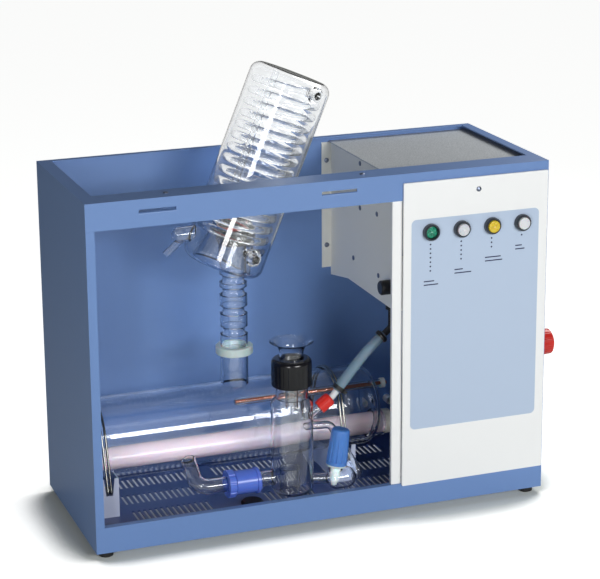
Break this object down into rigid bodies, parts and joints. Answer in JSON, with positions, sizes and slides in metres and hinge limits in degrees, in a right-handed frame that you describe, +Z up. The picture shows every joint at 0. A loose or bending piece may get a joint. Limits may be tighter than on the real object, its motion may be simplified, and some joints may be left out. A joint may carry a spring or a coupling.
{
  "type": "glass water distiller",
  "caption": "glass water still in an open steel cabinet, with a horizontal boiler, leaning lift-off condenser, water leveller with drain tap, and a control panel with lamps and a flow knob",
  "frame": {"origin": "middle of the base, on the floor under the rubber feet", "axes": "+X is to the right as seen from the front and the longest way, +Y is to the back, +Z is up; the front panel faces -Y"},
  "size_m": [0.581, 0.2518, 0.5265],
  "materials": {
    "blue_paint": "blue satin stove enamel on steel sheet",
    "dark_blue_paint": "dark blue satin stove enamel on pierced steel sheet",
    "white_paint": "white satin stove enamel on steel sheet",
    "grey_speckle_paint": "grey speckled enamel on steel sheet",
    "foot_rubber": "black moulded rubber",
    "red_rubber": "red silicone rubber",
    "hose_rubber": "grey translucent silicone hose",
    "black_plastic": "black moulded plastic, fine matte",
    "red_plastic": "red moulded plastic, satin gloss",
    "blue_plastic": "blue moulded plastic, satin gloss",
    "white_plastic": "white moulded plastic",
    "green_plastic": "green moulded plastic lens",
    "yellow_plastic": "amber moulded plastic lens",
    "label_film": "light blue printed film",
    "ptfe": "pale waxy fluoroplastic",
    "screw_steel": "zinc plated steel",
    "shaft_steel": "turned steel",
    "wire_steel": "bright stainless spring wire",
    "saddle_steel": "blue satin stove enamel on folded steel",
    "chrome_trim": "bright chrome plating",
    "brass": "turned brass",
    "copper": "drawn copper",
    "clear_glass": "clear borosilicate glass, flame polished",
    "heater_silica": "milky pink fused silica sheath",
    "cap_ceramic": "glazed off-white ceramic"
  },
  "bodies": {
    "cabinet": {"left_side_panel": "blue_paint", "right_side_panel": "blue_paint", "front_top_rail": "blue_paint", "back_panel": "blue_paint", "base_pan": "blue_paint", "feet": "foot_rubber", "vent_tray": "dark_blue_paint", "tray_plug": "foot_rubber", "housing_wall": "blue_paint", "housing_floor": "blue_paint", "case_screws": "screw_steel", "wall_cap": "black_plastic", "bay_strip": "white_paint", "front_panel": "white_paint", "panel_label": "label_film", "top_cover": "grey_speckle_paint", "lamp_bezels": "chrome_trim", "lamp_bodies": "black_plastic", "green_lens": "green_plastic", "white_lens": "white_plastic", "yellow_lens": "yellow_plastic", "feed_elbow": "black_plastic", "knob_bush": "shaft_steel", "flow_valve": "brass", "rear_spigots": "white_plastic", "mains_gland": "black_plastic", "boiler_vessel": "clear_glass", "heater_sheath": "heater_silica", "heater_cap": "cap_ceramic", "thermostat_pocket": "clear_glass", "thermostat_rod": "copper", "pocket_plug": "foot_rubber", "boiler_saddles": "saddle_steel", "boiler_straps": "wire_steel", "boiler_arm": "clear_glass", "neck_collar": "ptfe", "column_tube": "clear_glass", "seal_ring": "red_rubber", "leveller_vessel": "clear_glass", "leveller_standpipe": "clear_glass", "cap_seal": "foot_rubber", "overflow_funnel": "clear_glass", "feed_spout": "black_plastic", "feed_hose": "hose_rubber", "hose_rings": "black_plastic", "coupling_sleeve": "blue_plastic", "overflow_tube": "clear_glass"},
    "liner": {"socket_liner": "ptfe"},
    "condenser": {"condenser_shell": "clear_glass", "condenser_fittings": "clear_glass", "condenser_coil": "clear_glass"},
    "knob_body": {"knob": "red_plastic", "knob_shaft": "shaft_steel"},
    "button": {"reset_button": "white_plastic"},
    "tap_stem_body": {"tap_stem": "ptfe", "tap_ring": "ptfe"},
    "tap_handle_body": {"tap_handle": "blue_plastic"},
    "leveller_cap_body": {"leveller_cap": "black_plastic"},
    "red_cap_body": {"red_cap": "red_plastic"},
    "coupling_nut_body": {"coupling_nut": "blue_plastic"}
  },
  "joints": [
    {"name": "condenser_tilt", "type": "hinge", "parent": "cabinet", "child": "liner", "pos_m": [-0.0876, 0.00095, 0.328], "axis": [0, 1, 0], "range_deg": [-22.5, 0]},
    {"name": "condenser_lift", "type": "slide", "parent": "liner", "child": "condenser", "axis": [0.3827, 0, 0.9239], "range_m": [0, 0.25]},
    {"name": "knob_turn", "type": "hinge", "parent": "cabinet", "child": "knob_body", "pos_m": [0.2645, -0.07405, 0.176], "axis": [1, 0, 0], "range_deg": [0, 270]},
    {"name": "reset_press", "type": "slide", "parent": "cabinet", "child": "button", "axis": [0, 1, 0], "range_m": [0, 0.003], "stiffness_N_per_m": 900},
    {"name": "tap_lift", "type": "slide", "parent": "cabinet", "child": "tap_stem_body", "axis": [0.1392, 0, 0.9903], "range_m": [0, 0.004]},
    {"name": "tap_turn", "type": "hinge", "parent": "tap_stem_body", "child": "tap_handle_body", "pos_m": [0.0035, -0.08305, 0.032], "axis": [0.1392, 0, 0.9903], "range_deg": [0, 720]},
    {"name": "leveller_cap_turn", "type": "hinge", "parent": "cabinet", "child": "leveller_cap_body", "pos_m": [-0.0437, -0.07405, 0.18], "axis": [0, 0, 1], "range_deg": [0, 360]},
    {"name": "red_cap_turn", "type": "hinge", "parent": "cabinet", "child": "red_cap_body", "pos_m": [-0.00446, -0.07405, 0.13451], "axis": [0.809, 0, 0.5878], "range_deg": [0, 360]},
    {"name": "coupling_nut_turn", "type": "hinge", "parent": "cabinet", "child": "coupling_nut_body", "pos_m": [-0.1205, -0.07405, 0.0523], "axis": [1, 0, 0], "range_deg": [0, 360]}
  ],
  "couplings": [
    {"joint": "tap_lift", "follows": "tap_turn", "m_per_rad": 0.00031831}
  ]
}
